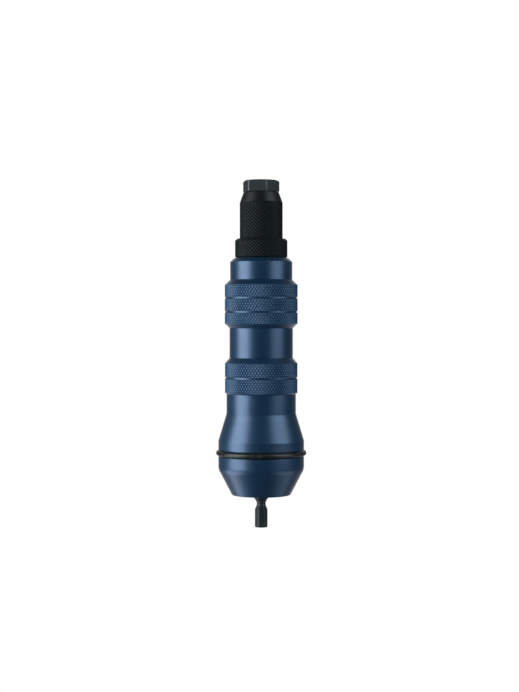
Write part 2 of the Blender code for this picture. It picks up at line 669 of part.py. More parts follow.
def add_drive_spindle(group):
    hex_corner = SHANK_FLATS / 2 / cos(pi / 6)
    pilot_bore = PILOT_RADIUS + SEAT_GAP
    pilot_floor = driven_rear - PILOT_LENGTH - SEAT_GAP
    outline = [
        (0.0, 0.0),
        (SHANK_FLATS / 2 - SHANK_END_CHAMFER / 2, 0.0),
        (hex_corner, SHANK_END_CHAMFER),
        (hex_corner, SHANK_HEX_LENGTH),
    ]
    outline += neck_curve()
    outline += [
        (COLLAR_RADIUS, bearing_seat),
        (journal_radius, bearing_seat),
        (journal_radius, bearing_front + SEAT_GAP),
        (SPINDLE_SHOULDER_RADIUS, bearing_front + SEAT_GAP),
        (SPINDLE_SHOULDER_RADIUS, driver_rear),
        (CLUTCH_RADIUS - PLATE_EDGE_CHAMFER, driver_rear),
        (CLUTCH_RADIUS, driver_rear + PLATE_EDGE_CHAMFER),
        (CLUTCH_RADIUS, driver_front),
        (pilot_bore, driver_front),
        (pilot_bore, pilot_floor),
        (0.0, pilot_floor),
    ]
    shape = spin_outline(outline, SHAFT_SIDES)
    cut_flats(shape, SHANK_FLATS, SHANK_END_CHAMFER, SHANK_HEX_LENGTH)
    mesh = finish_mesh(shape, "drive_spindle")
    spindle = add_object("drive_spindle", mesh, BLACK_STEEL, group, 0.0, SHANK_TURN)
    pocket_radius = CLUTCH_BALL_RADIUS + SEAT_GAP
    pocket = spin_outline([
        (0.0, -pocket_radius - SEAT_GAP),
        (pocket_radius * POCKET_FLOOR_SHARE, -pocket_radius),
        (pocket_radius, -pocket_radius * POCKET_SIDE_SHARE),
        (pocket_radius, BALL_SINK + PLATE_GAP / 2),
        (0.0, BALL_SINK + PLATE_GAP / 2),
    ], BORE_SIDES)
    copies_on_circle(pocket, CLUTCH_BALLS, clutch_pitch_radius)
    cut(spindle, make_cutter("driver_pockets", pocket, group, clutch_ball_height))


def add_driven_plate(group):
    hex_bore = DRIVE_HEX_FLATS + 2 * SEAT_GAP
    hex_corner = hex_bore / 2 / cos(pi / 6)
    outline = [
        (hex_corner, driven_rear),
        (CLUTCH_RADIUS, driven_rear),
        (CLUTCH_RADIUS, driven_front - PLATE_EDGE_CHAMFER),
        (CLUTCH_RADIUS - PLATE_EDGE_CHAMFER, driven_front),
        (hex_corner, driven_front),
    ]
    shape = spin_outline(lower(outline, driven_rear), SHAFT_SIDES)
    cut_flats(shape, hex_bore, 0.0, DRIVEN_THICKNESS)
    mesh = finish_mesh(shape, "clutch_driven_plate")
    plate = add_object("clutch_driven_plate", mesh, BRIGHT_STEEL, group, driven_rear)
    rim = CLUTCH_BALL_RADIUS
    detent = spin_outline([
        (0.0, DETENT_DEPTH),
        (rim - DETENT_DEPTH, DETENT_DEPTH),
        (rim + PLATE_GAP / 2, -PLATE_GAP / 2),
        (0.0, -PLATE_GAP / 2),
    ], BORE_SIDES)
    copies_on_circle(detent, CLUTCH_BALLS, clutch_pitch_radius)
    cut(plate, make_cutter("driven_detents", detent, group, driven_rear))


def add_disc_springs(group):
    inner = drive_hex_radius + SLIDE_GAP
    outline = [
        (inner, 0.0),
        (DISC_SPRING_RADIUS, DISC_SPRING_RISE),
        (DISC_SPRING_RADIUS, DISC_SPRING_RISE + DISC_SPRING_THICKNESS),
        (inner, DISC_SPRING_THICKNESS),
    ]
    mesh = finish_mesh(spin_outline(outline, SHAFT_SIDES), "disc_spring")
    add_object("disc_spring_1", mesh, SPRING_STEEL, group, first_disc_rear)
    second = add_object("disc_spring_2", mesh, SPRING_STEEL, group, second_disc_front)
    second.rotation_euler = (pi, 0.0, 0.0)


def add_lead_screw(group):
    thread_rear = pull_rear - PULL_STROKE - PULL_MARGIN + SEAT_GAP
    relief_radius = SCREW_RADIUS - SCREW_RELIEF_DEPTH
    pilot_rear = driven_rear - PILOT_LENGTH
    outline = [
        (0.0, pilot_rear),
        (PILOT_RADIUS, pilot_rear),
        (PILOT_RADIUS, driven_rear - SEAT_GAP),
        (drive_hex_radius, driven_rear - SEAT_GAP),
        (drive_hex_radius, flange_rear),
        (THRUST_RADIUS, flange_rear),
        (THRUST_RADIUS, flange_front),
        (SCREW_RADIUS, flange_front),
        (SCREW_RADIUS, thread_rear - SCREW_RELIEF_LENGTH),
        (relief_radius, thread_rear - SCREW_RELIEF_LENGTH),
        (relief_radius, thread_rear),
        (SCREW_RADIUS, thread_rear),
        (SCREW_RADIUS, screw_front - SCREW_END_CHAMFER),
        (SCREW_RADIUS - SCREW_END_CHAMFER, screw_front),
        (0.0, screw_front),
    ]
    shape = spin_outline(lower(outline, flange_rear), SHAFT_SIDES)
    cut_flats(shape, DRIVE_HEX_FLATS, driven_rear - SEAT_GAP - flange_rear, 0.0)
    mesh = finish_mesh(shape, "lead_screw")
    add_object("lead_screw", mesh, BRIGHT_STEEL, group, flange_rear)


def raceway(face_height, side):
    # Points across a washer's face, dipping to the ball track. Side is +1 for a dip towards -Z.
    groove = THRUST_BALL_RADIUS + SEAT_GAP
    centre = face_height + side * (groove - RACEWAY_DEPTH)
    half = atan2(sqrt(groove ** 2 - (groove - RACEWAY_DEPTH) ** 2), groove - RACEWAY_DEPTH)
    start = -side * pi / 2
    return arc(thrust_pitch_radius, centre, groove, start + half, start - half, RACEWAY_STEPS)


def add_thrust_bearing(fixed, turning, cage_group):
    rear_face = rear_washer_rear + THRUST_WASHER_THICKNESS
    rear_washer = [
        (screw_bore_radius, rear_face),
        (screw_bore_radius, rear_washer_rear),
        (THRUST_RADIUS, rear_washer_rear),
        (THRUST_RADIUS, rear_face),
    ]
    rear_washer += raceway(rear_face, 1)
    turned("thrust_washer_rear", rear_washer, BRIGHT_STEEL, turning, rear_washer_rear, SHAFT_SIDES)
    front_washer = [
        (THRUST_RADIUS, front_washer_rear),
        (THRUST_RADIUS, front_washer_front),
        (shoulder_bore_radius, front_washer_front),
        (shoulder_bore_radius, front_washer_rear),
    ]
    front_washer += raceway(front_washer_rear, -1)
    turned("thrust_washer_front", front_washer, BRIGHT_STEEL, fixed, front_washer_rear, SHAFT_SIDES)
    hole_radius = THRUST_BALL_RADIUS + SEAT_GAP
    cage_half = hole_radius + THRUST_CAGE_BAND
    half_height = THRUST_CAGE_THICKNESS / 2
    band = [
        (thrust_pitch_radius - cage_half, thrust_ball_height - half_height),
        (thrust_pitch_radius + cage_half, thrust_ball_height - half_height),
        (thrust_pitch_radius + cage_half, thrust_ball_height + half_height),
        (thrust_pitch_radius - cage_half, thrust_ball_height + half_height),
    ]
    cage = turned("thrust_cage", band, BRONZE, cage_group, thrust_ball_height, 4 * THRUST_BALLS)
    punch = bmesh.new()
    bmesh.ops.create_cone(punch, cap_ends=True, segments=BORE_SIDES, radius1=hole_radius,
                          radius2=hole_radius, depth=2 * THRUST_CAGE_THICKNESS)
    copies_on_circle(punch, THRUST_BALLS, thrust_pitch_radius)
    cut(cage, make_cutter("thrust_cage_punch", punch, cage_group, thrust_ball_height))
    add_balls("thrust_ball", THRUST_BALLS, THRUST_BALL_RADIUS, thrust_pitch_radius,
              thrust_ball_height, cage_group)


def add_pull_sleeve(group):
    outline = [
        (screw_bore_radius, pull_rear),
        (pull_sleeve_radius - PLATE_EDGE_CHAMFER, pull_rear),
        (pull_sleeve_radius, pull_rear + PLATE_EDGE_CHAMFER),
        (pull_sleeve_radius, pull_front - PLATE_EDGE_CHAMFER),
        (pull_sleeve_radius - PLATE_EDGE_CHAMFER, pull_front),
        (pull_hollow_radius, pull_front),
        (pull_hollow_radius, nut_front),
        (screw_bore_radius, nut_front),
    ]
    sleeve = turned("pull_sleeve", outline, BLACK_STEEL, group, pull_rear, SHAFT_SIDES)
    # The keyway starts at the rear end and is long enough for the pin at full stroke.
    side = KEY_PIN_RADIUS + SEAT_GAP
    far_end = key_pin_height + PULL_STROKE + 2 * side - pull_rear
    near_end = -2 * side
    slot = bmesh.new()
    bmesh.ops.create_cube(slot, size=1.0)
    depth = 2 * KEYWAY_DEPTH
    for vert in slot.verts:
        vert.co = (keyway_floor + depth * (vert.co.x + 0.5), 2 * side * vert.co.y,
                   near_end + (far_end - near_end) * (vert.co.z + 0.5))
    cut(sleeve, make_cutter("keyway_mill", slot, group, pull_rear))


def add_jaw_case(group):
    # The front bore is a cone that runs parallel to the backs of the jaws.
    cone_rear = jaw_rear - (jaw_case_bore - jaw_cone_rear_radius) / tan(JAW_CONE_ANGLE)
    outline = [
        (jaw_case_bore, jaw_case_rear),
        (jaw_case_radius, jaw_case_rear),
        (jaw_case_radius, jaw_case_front - JAW_CASE_CHAMFER),
        (jaw_case_radius - JAW_CASE_CHAMFER, jaw_case_front),
        (jaw_case_lip_bore, jaw_case_front),
        (jaw_case_bore, cone_rear),
    ]
    turned("jaw_case", outline, BLACK_STEEL, group, jaw_case_rear, SHAFT_SIDES)
    seat = [
        (MANDREL_RADIUS + SLIDE_GAP, spring_seat_rear),
        (jaw_case_bore - SEAT_GAP, spring_seat_rear),
        (jaw_case_bore - SEAT_GAP, spring_seat_rear + SEAT_THICKNESS),
        (MANDREL_RADIUS + SLIDE_GAP, spring_seat_rear + SEAT_THICKNESS),
    ]
    turned("spring_seat", seat, BRIGHT_STEEL, group, spring_seat_rear, SHAFT_SIDES)


def add_jaw_spring(group):
    # A coil of round wire with its first and last half turn nearly closed.
    wire = JAW_SPRING_WIRE / 2
    curve = bpy.data.curves.new("jaw_spring", "CURVE")
    curve.dimensions = "3D"
    curve.bevel_depth = wire
    curve.bevel_resolution = 1
    curve.use_fill_caps = True
    steps = round(JAW_SPRING_TURNS * SPRING_STEPS)
    spline = curve.splines.new("POLY")
    spline.points.add(steps)
    for step in range(steps + 1):
        share = step / steps
        angle = 2 * pi * JAW_SPRING_TURNS * share
        rise = share - sin(2 * pi * share) / (2 * pi) * JAW_SPRING_CLOSING
        height = wire + (JAW_SPRING_LENGTH - JAW_SPRING_WIRE) * rise
        spline.points[step].co = (jaw_spring_radius * cos(angle), jaw_spring_radius * sin(angle),
                                  height, 1.0)
    add_object("jaw_spring", curve, SPRING_STEEL, group, jaw_spring_rear)


def add_jaw_pusher(group):
    tail_radius = jaw_spring_radius - JAW_SPRING_WIRE / 2 - PUSHER_TAIL_GAP
    head_radius = jaw_case_bore - SLIDE_GAP
    outline = [
        (MANDREL_RADIUS + SLIDE_GAP, pusher_head_rear - PUSHER_TAIL),
        (tail_radius, pusher_head_rear - PUSHER_TAIL),
        (tail_radius, pusher_head_rear),
        (head_radius, pusher_head_rear),
        (head_radius, pusher_front - PUSHER_HEAD / 2),
        (jaw_rear_radius - SLIDE_GAP, pusher_front),
        (MANDREL_RADIUS + SLIDE_GAP, pusher_front),
    ]
    turned("jaw_pusher", outline, BRIGHT_STEEL, group, pusher_head_rear, SHAFT_SIDES)


def jaw_ring(shape, inner, outer, height):
    # One section across a jaw: an arc at the bore, an arc at the back and two flat sides.
    half = pi / JAW_COUNT
    ring = []
    for radius, direction in ((inner, 1), (outer, -1)):
        limit = half - (JAW_SPLIT / 2) / radius
        for step in range(JAW_STEPS + 1):
            angle = direction * limit * (2 * step / JAW_STEPS - 1)
            ring.append(shape.verts.new((radius * cos(angle), radius * sin(angle), height)))
    return ring


def add_jaws(groups):
    # Each jaw is lofted through sections whose bore radius steps in and out to make its teeth.
    shape = bmesh.new()
    rings = []
    sections = 2 * JAW_TEETH
    for section in range(sections + 1):
        height = JAW_LENGTH * section / sections
        inner = JAW_BORE_RADIUS + (JAW_TOOTH_DEPTH if section % 2 == 0 else 0.0)
        outer = jaw_rear_radius - height * tan(JAW_CONE_ANGLE)
        rings.append(jaw_ring(shape, inner, outer, height))
    for below, above in zip(rings, rings[1:]):
        count = len(below)
        for index in range(count):
            after = (index + 1) % count
            shape.faces.new((below[index], below[after], above[after], above[index]))
    shape.faces.new(rings[0])
    shape.faces.new(rings[-1])
    mesh = finish_mesh(shape, "jaw")
    for index, group in enumerate(groups):
        add_object(f"jaw_{index + 1}", mesh, BLACK_STEEL, group, jaw_rear,
                   2 * pi * index / JAW_COUNT)


def add_nose_sleeve(group):
    outline = [
        (nose_bore_radius, nose_tail_rear),
        (nose_tail_radius - SEAT_GAP, nose_tail_rear),
        (nose_tail_radius, nose_tail_rear + SEAT_GAP),
        (nose_tail_radius, nose_sleeve_shoulder),
        (nose_sleeve_radius, nose_sleeve_shoulder),
        (nose_sleeve_radius, nose_cone_rear),
        (nose_tip_radius, nose_front),
        (nosepiece_thread_bore, nose_front),
        (nosepiece_thread_bore, nose_bore_end),
        (nose_bore_radius, nose_bore_end),
    ]
    turned("nose_sleeve", outline, BLACK_STEEL, group, nose_tail_rear)


def add_lock_ring(group):
    outline = [
        (nose_thread_bore, lock_ring_rear),
        (lock_ring_radius - LOCK_RING_CHAMFER / 2, lock_ring_rear),
        (lock_ring_radius, lock_ring_rear + LOCK_RING_CHAMFER / 2),
        (lock_ring_radius, lock_ring_front - LOCK_RING_CHAMFER),
        (lock_ring_radius - LOCK_RING_CHAMFER, lock_ring_front),
        (nose_thread_bore, lock_ring_front),
    ]
    turned("lock_ring", outline, BLACK_STEEL, group, lock_ring_rear)


def add_nosepiece(group):
    corner = NOSEPIECE_FLATS / 2 / cos(pi / 6)
    top_radius = NOSEPIECE_FLATS / 2 - NOSEPIECE_TOP_INSET
    chamfer_height = nosepiece_front - (corner - top_radius) * NOSEPIECE_CHAMFER_SLOPE
    body_rear = nose_bore_end + SEAT_GAP
    mouth = MANDREL_RADIUS + NOSEPIECE_MOUTH
    outline = [
        (MANDREL_RADIUS, nosepiece_rear),
        (nosepiece_tube_radius, nosepiece_rear),
        (nosepiece_tube_radius, body_rear),
        (nosepiece_thread_radius, body_rear),
        (nosepiece_thread_radius, nosepiece_hex_rear),
        (corner, nosepiece_hex_rear),
        (corner, chamfer_height),
        (top_radius, nosepiece_front),
        (mouth, nosepiece_front),
        (MANDREL_RADIUS, nosepiece_front - NOSEPIECE_MOUTH),
    ]
    datum = nosepiece_hex_rear
    shape = spin_outline(lower(outline, datum), SHELL_SIDES)
    cut_flats(shape, NOSEPIECE_FLATS, 0.0, NOSEPIECE_HEX_LENGTH, chamfer_height - datum,
              NOSEPIECE_CHAMFER_SLOPE)
    mesh = finish_mesh(shape, "nosepiece", crease=radians(22))
    add_object("nosepiece", mesh, BLACK_STEEL, group, datum, NOSEPIECE_TURN)


def build():
    clear_scene()
    housing = make_group("housing_group")
    drive = make_group("drive_axis")
    clutch = make_group("clutch_plate_axis")
    rear_cage = make_group("rear_cage_axis")
    thrust_cage = make_group("thrust_cage_axis")
    pull = make_group("pull_axis")
    pusher = make_group("pusher_axis")
    jaws = [make_group(f"jaw_axis_{index + 1}") for index in range(JAW_COUNT)]
    nose = make_group("nose_axis")
    lock = make_group("lock_ring_axis")
    tip = make_group("nosepiece_axis")
    clutch.parent = drive
    for group in (pusher, *jaws):
        group.parent = pull
    lock.parent = nose
    tip.parent = nose

    add_end_cap(housing)
    add_seam_ring(housing)
    add_rear_housing(housing)
    add_front_housing(housing)
    add_key_pin(housing)
    add_retaining_ring(housing)
    add_rear_bearing(housing, drive, rear_cage)
    add_drive_spindle(drive)
    add_balls("clutch_ball", CLUTCH_BALLS, CLUTCH_BALL_RADIUS, clutch_pitch_radius,
              clutch_ball_height, drive)
    add_driven_plate(clutch)
    add_disc_springs(drive)
    add_lead_screw(drive)
    add_thrust_bearing(housing, drive, thrust_cage)
    add_pull_sleeve(pull)
    add_jaw_case(pull)
    add_jaw_spring(pull)
    add_jaw_pusher(pusher)
    add_jaws(jaws)
    add_nose_sleeve(nose)
    add_lock_ring(lock)
    add_nosepiece(tip)


build()
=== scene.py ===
import json
from math import acos, atan2, cos, hypot, pi, radians, sin, tan

import bmesh
import bpy
from mathutils import Matrix


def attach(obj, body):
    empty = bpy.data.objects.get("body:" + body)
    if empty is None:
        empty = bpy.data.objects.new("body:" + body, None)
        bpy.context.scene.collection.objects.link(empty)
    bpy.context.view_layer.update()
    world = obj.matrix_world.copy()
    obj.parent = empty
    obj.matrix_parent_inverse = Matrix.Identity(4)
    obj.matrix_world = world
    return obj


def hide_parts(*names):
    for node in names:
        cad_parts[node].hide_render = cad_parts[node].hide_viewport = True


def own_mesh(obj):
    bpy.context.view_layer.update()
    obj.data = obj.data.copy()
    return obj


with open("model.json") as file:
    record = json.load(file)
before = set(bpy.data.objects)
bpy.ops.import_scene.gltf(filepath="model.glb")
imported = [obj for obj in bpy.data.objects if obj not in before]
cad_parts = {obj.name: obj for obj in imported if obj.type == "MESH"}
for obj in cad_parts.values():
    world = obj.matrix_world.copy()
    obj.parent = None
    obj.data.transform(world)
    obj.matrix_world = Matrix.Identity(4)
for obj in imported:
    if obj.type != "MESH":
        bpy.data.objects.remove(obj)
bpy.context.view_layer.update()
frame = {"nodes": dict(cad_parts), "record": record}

mm = 0.001
print("frame loaded:", len(frame["nodes"]), "solids")


# Shader maths: a value carries its socket, and the usual operators add Math nodes
class Value:
    def __init__(self, finish, socket):
        self.finish = finish
        self.socket = socket

    def maths(self, operation, first, second):
        return self.finish.node("ShaderNodeMath", {"operation": operation}, {0: first, 1: second})

    def __add__(self, other):
        return self.maths("ADD", self, other)

    def __radd__(self, other):
        return self.maths("ADD", other, self)

    def __sub__(self, other):
        return self.maths("SUBTRACT", self, other)

    def __rsub__(self, other):
        return self.maths("SUBTRACT", other, self)

    def __mul__(self, other):
        return self.maths("MULTIPLY", self, other)

    def __rmul__(self, other):
        return self.maths("MULTIPLY", other, self)

    def __truediv__(self, other):
        return self.maths("DIVIDE", self, other)

    def __rtruediv__(self, other):
        return self.maths("DIVIDE", other, self)


class Finish:
    def __init__(self, owner):
        self.owner = owner                                     # a material, or the world
        owner.use_nodes = True
        self.tree = owner.node_tree
        self.tree.nodes.clear()

    def node(self, kind, settings=None, sockets=None, out=0):
        made = self.tree.nodes.new(kind)
        for key, value in (settings or {}).items():
            setattr(made, key, value)
        for key, value in (sockets or {}).items():
            if isinstance(value, Value):
                self.tree.links.new(value.socket, made.inputs[key])
            else:
                made.inputs[key].default_value = value
        if isinstance(out, list):
            return [Value(self, made.outputs[name]) for name in out]
        return None if out is None else Value(self, made.outputs[out])

    def where(self):
        return self.node("ShaderNodeTexCoord", out="Object")

    def split(self, vector):
        return self.node("ShaderNodeSeparateXYZ", None, {0: vector}, out=["X", "Y", "Z"])

    def turned(self, spot):
        # Distance from the axis, and height along it
        x, y, z = self.split(spot)
        return self.node("ShaderNodeMath", {"operation": "SQRT"}, {0: x * x + y * y}), z

    def noise(self, spot, scale, detail=2.0, rough=0.5):
        return self.node("ShaderNodeTexNoise", {"noise_dimensions": "3D"},
                         {"Vector": spot, "Scale": scale, "Detail": detail, "Roughness": rough})

    def lines(self, along, scale, detail=2.0):
        return self.node("ShaderNodeTexNoise", {"noise_dimensions": "1D"},
                         {"W": along, "Scale": scale, "Detail": detail, "Roughness": 0.6})

    def spread(self, value, low, high, toLow=0.0, toHigh=1.0):
        return self.node("ShaderNodeMapRange", {"clamp": True, "interpolation_type": "SMOOTHSTEP"},
                         {"Value": value, "From Min": low, "From Max": high,
                          "To Min": toLow, "To Max": toHigh})

    def blend(self, factor, first, second):
        first = first if isinstance(first, Value) else (*first, 1.0)
        second = second if isinstance(second, Value) else (*second, 1.0)
        return self.node("ShaderNodeMix", {"data_type": "RGBA"},
                         {0: factor, 6: first, 7: second}, out=2)

    def bump(self, height, strength, distance, under=None):
        sockets = {"Height": height, "Strength": strength, "Distance": distance}
        if under is not None:
            sockets["Normal"] = under
        return self.node("ShaderNodeBump", None, sockets)

    def output(self, shader, kind="ShaderNodeOutputMaterial"):
        self.node(kind, None, {"Surface": shader}, out=None)
        return self.owner

    def close(self, sockets):
        return self.output(self.node("ShaderNodeBsdfPrincipled", None, sockets))


# Finishes, each with the marks that its making leaves; the knurled ones also get painted shade in their
# valleys and a painted highlight on their tops
def bandMask(finish, z, low, high, soft=0.05):
    inside = finish.spread(z, (low - soft) * mm, (low + soft) * mm)
    return inside * finish.spread(z, (high - soft) * mm, (high + soft) * mm, 1.0, 0.0)


# Painted shade: the colour darkens towards the bottoms of the knurl valleys
def valleyShadeMask(finish, radius, crest, depth, share):
    return finish.spread(radius, (crest - depth) * mm, (crest - depth * share) * mm, 1.0, 0.0)


def wornAndHighlightMask(finish, radius, crest, depth, grain):
    # Lighter diamond tops, unevenly: rubbing wear, and a painted highlight
    top = finish.spread(radius, (crest - depth * 0.4) * mm, (crest - depth * 0.05) * mm)
    return top * finish.spread(grain, 0.30, 0.60)


blueLook = {
    "dye": (0.0040, 0.0520, 0.1320),
    "dyeDeep": (0.0030, 0.0440, 0.1150),
    # colour of the painted shade in the knurl valleys
    "groove": (0.0030, 0.0200, 0.0500),
    # pale blue for the slow bands, and for the knurl tops: rubbing wear and painted highlight
    "paleBlueBandsWearAndHighlight": (0.1700, 0.3700, 0.6400),
    "metallic": 0.62,
    "coat": 0.85,
    "coatRough": 0.34,
    "roughLow": 0.36,
    "roughHigh": 0.43,
    "turningPitch": 0.16,      # mm between tool marks
    "turningDepth": 0.004,     # mm
    "grainDepth": 0.010,       # mm
    "banding": 0.05,           # how far the slow bands along the axis show
    "valleyShadeShare": 0.4,         # painted shade in the bottoms of the knurl
    "wornAndHighlightShare": 0.36,        # pale blue on the tops of the knurl: rubbing wear and painted highlight
    "rolledRough": 0.18,       # rolled metal is duller than turned
    "wornShine": 0.04,
    "rolledCoat": 0.43,        # gloss that the knurl takes away
}


def anodisedFinish(name, knurl=None):
    look = blueLook
    finish = Finish(bpy.data.materials.new(name))
    spot = finish.where()
    radius, z = finish.turned(spot)
    along = (z + radius) / mm                                  # tool marks run round the axis
    wander = finish.noise(spot, 60.0, 2.0)
    marks = finish.lines(along + wander * 0.5, 1.0 / look["turningPitch"], 3.0)
    bands = finish.lines(along, 0.9, 2.0)
    cloud = finish.noise(spot, 95.0, 4.0, 0.6)
    grain = finish.noise(spot, 5200.0, 2.0, 0.7)
    colour = finish.blend(finish.spread(cloud, 0.35, 0.7), look["dye"], look["dyeDeep"])
    colour = finish.blend(finish.spread(bands, 0.6, 0.85) * look["banding"], colour, look["paleBlueBandsWearAndHighlight"])
    rough = finish.spread(cloud * 0.5 + marks * 0.5, 0.25, 0.75, look["roughLow"], look["roughHigh"])
    coat = look["coat"]
    if knurl:
        crest, depth, low, high = knurl
        floor = crest - depth                                  # turned grooves lie deeper, and stay plain
        rolled = bandMask(finish, z, low, high)
        rolled = rolled * finish.spread(radius, (floor - 0.07) * mm, (floor - 0.02) * mm)
        valleyShade = rolled * valleyShadeMask(finish, radius, crest, depth, 0.45)
        wornAndHighlight = rolled * wornAndHighlightMask(finish, radius, crest, depth, grain)
        # painted shade in the knurl valleys
        colour = finish.blend(valleyShade * look["valleyShadeShare"], colour, look["groove"])
        # lighter knurl tops: rubbing wear and painted highlight
        colour = finish.blend(wornAndHighlight * look["wornAndHighlightShare"], colour, look["paleBlueBandsWearAndHighlight"])
        rough = rough + rolled * look["rolledRough"] - wornAndHighlight * look["wornShine"]
        coat = coat - rolled * look["rolledCoat"]
    fine = finish.bump(grain, 0.25, look["grainDepth"] * mm)
    normal = finish.bump(marks, 0.35, look["turningDepth"] * mm, fine)
    return finish.close({"Base Color": colour, "Metallic": look["metallic"], "Roughness": rough,
                         "Coat Weight": coat, "Coat Roughness": look["coatRough"], "Coat IOR": 1.5,
                         "Normal": normal})


blackLook = {
    "oxide": (0.0125, 0.0190, 0.0220),
    "oxideBrown": (0.0150, 0.0195, 0.0210),
    # colour of the painted shade in the knurl valleys
    "groove": (0.0050, 0.0065, 0.0070),
    # lighter steel: rubbing wear, and the painted highlight on knurl tops and hex corners
    "rubbedAndHighlight": (0.1200, 0.1420, 0.1500),
    "metallic": 0.55,
    "coat": 0.12,
    "coatRough": 0.35,
    "roughLow": 0.36,
    "roughHigh": 0.50,
    "markDepth": 0.004,        # mm
    "grainDepth": 0.012,       # mm
    # strength of the painted shade in the knurl valleys
    "valleyShadeShare": 0.6,
    "rolledRough": 0.10,
    "rolledMetallic": 0.35,
    "handled": 0.4,            # share of the rubbing that plain faces get
    # lighter hex corners: rubbing wear and painted highlight
    "cornerWearAndHighlight": 0.5,
    "cornerWidth": 0.22,       # mm of lighter hex corner, rubbed and with painted highlight
}


def blackenedFinish(name, knurl=None, rubbingAndHighlight=0.25, tone=1.0, corner=None):
    look = blackLook
    finish = Finish(bpy.data.materials.new(name))
    spot = finish.where()
    radius, z = finish.turned(spot)
    marks = finish.lines((z + radius) / mm + finish.noise(spot, 80.0) * 0.4, 6.5, 3.0)
    cloud = finish.noise(spot, 140.0, 4.0, 0.62)
    grain = finish.noise(spot, 4200.0, 2.0, 0.7)
    oxide, brown = ([part * tone for part in look[key]] for key in ("oxide", "oxideBrown"))
    colour = finish.blend(finish.spread(cloud, 0.35, 0.7), oxide, brown)
    rough = finish.spread(cloud * 0.6 + marks * 0.4, 0.25, 0.75, look["roughLow"], look["roughHigh"])
    metallic, coat = look["metallic"], look["coat"]
    if knurl:
        crest, depth, low, high = knurl
        floor = crest - depth
        rolled = bandMask(finish, z, low, high)
        # painted shade: darker in the knurl valleys
        valleyShade = rolled * valleyShadeMask(finish, radius, crest, depth, 0.4)
        valleyShade = valleyShade * finish.spread(radius, (floor - 0.05) * mm, (floor - 0.01) * mm)
        wornAndHighlight = rolled * wornAndHighlightMask(finish, radius, crest, depth, grain)
        colour = finish.blend(valleyShade * look["valleyShadeShare"], colour, look["groove"])
        # lighter knurl tops: rubbing wear and painted highlight
        colour = finish.blend(wornAndHighlight * rubbingAndHighlight, colour, look["rubbedAndHighlight"])
        rough = rough + rolled * look["rolledRough"]
        metallic = metallic + rolled * look["rolledMetallic"]
        coat = coat - rolled * look["coat"]
    else:
        handled = finish.spread(cloud * marks, 0.27, 0.42)
        colour = finish.blend(handled * rubbingAndHighlight * look["handled"], colour, look["rubbedAndHighlight"])
        if corner:                                             # the hex corners are lighter: rubbing wear, and a painted highlight standing in for the glint of the broken edge
            edge = finish.spread(radius + (cloud - 0.5) * 0.15 * mm,
                                 (corner - look["cornerWidth"]) * mm, corner * mm)
            colour = finish.blend(edge * look["cornerWearAndHighlight"], colour, look["rubbedAndHighlight"])
    fine = finish.bump(grain, 0.3, look["grainDepth"] * mm)
    normal = finish.bump(marks, 0.25, look["markDepth"] * mm, fine)
    return finish.close({"Base Color": colour, "Metallic": metallic, "Roughness": rough,
                         "Coat Weight": coat, "Coat Roughness": look["coatRough"], "Normal": normal})


rubberLook = {
    "fresh": (0.0075, 0.0077, 0.0080),
    "bloomed": (0.0200, 0.0198, 0.0190),
    "sheen": (0.84, 0.94, 1.0, 1.0),
    "specular": 0.55,
    "roughLow": 0.30,
    "roughHigh": 0.42,
    "grainDepth": 0.015,       # mm
}


def rubberFinish():
    look = rubberLook
    finish = Finish(bpy.data.materials.new("nitrileRubber"))
    spot = finish.where()
    bloom = finish.noise(spot, 260.0, 4.0, 0.6)
    grain = finish.noise(spot, 3800.0, 3.0, 0.7)
    colour = finish.blend(finish.spread(bloom, 0.4, 0.75), look["fresh"], look["bloomed"])
    rough = finish.spread(bloom, 0.3, 0.7, look["roughLow"], look["roughHigh"])
    return finish.close({"Base Color": colour, "Roughness": rough,
                         "Specular IOR Level": look["specular"], "Specular Tint": look["sheen"],
                         "Normal": finish.bump(grain, 0.25, look["grainDepth"] * mm)})


bareMetals = {
    "groundSteel": {"light": (0.58, 0.59, 0.61), "dark": (0.46, 0.47, 0.49), "rough": (0.18, 0.30),
                    "grain": 9.0},
    "springSteel": {"light": (0.33, 0.34, 0.36), "dark": (0.22, 0.21, 0.21), "rough": (0.28, 0.42),
                    "grain": 5.0},
    "cageBronze": {"light": (0.58, 0.38, 0.18), "dark": (0.40, 0.24, 0.11), "rough": (0.30, 0.46),
                   "grain": 5.0},
}


def bareMetalFinish(name):
    look = bareMetals[name]
    finish = Finish(bpy.data.materials.new(name))
    spot = finish.where()
    radius, z = finish.turned(spot)
    grind = finish.lines((z + radius) / mm, look["grain"], 3.0)
    stain = finish.noise(spot, 180.0, 4.0, 0.6)
    shade = finish.spread(stain * 0.6 + grind * 0.4, 0.3, 0.7)
    return finish.close({"Base Color": finish.blend(shade, look["light"], look["dark"]),
                         "Metallic": 1.0, "Roughness": finish.spread(grind, 0.3, 0.7, *look["rough"]),
                         "Normal": finish.bump(grind, 0.3, 0.003 * mm)})


print("finishes ready")


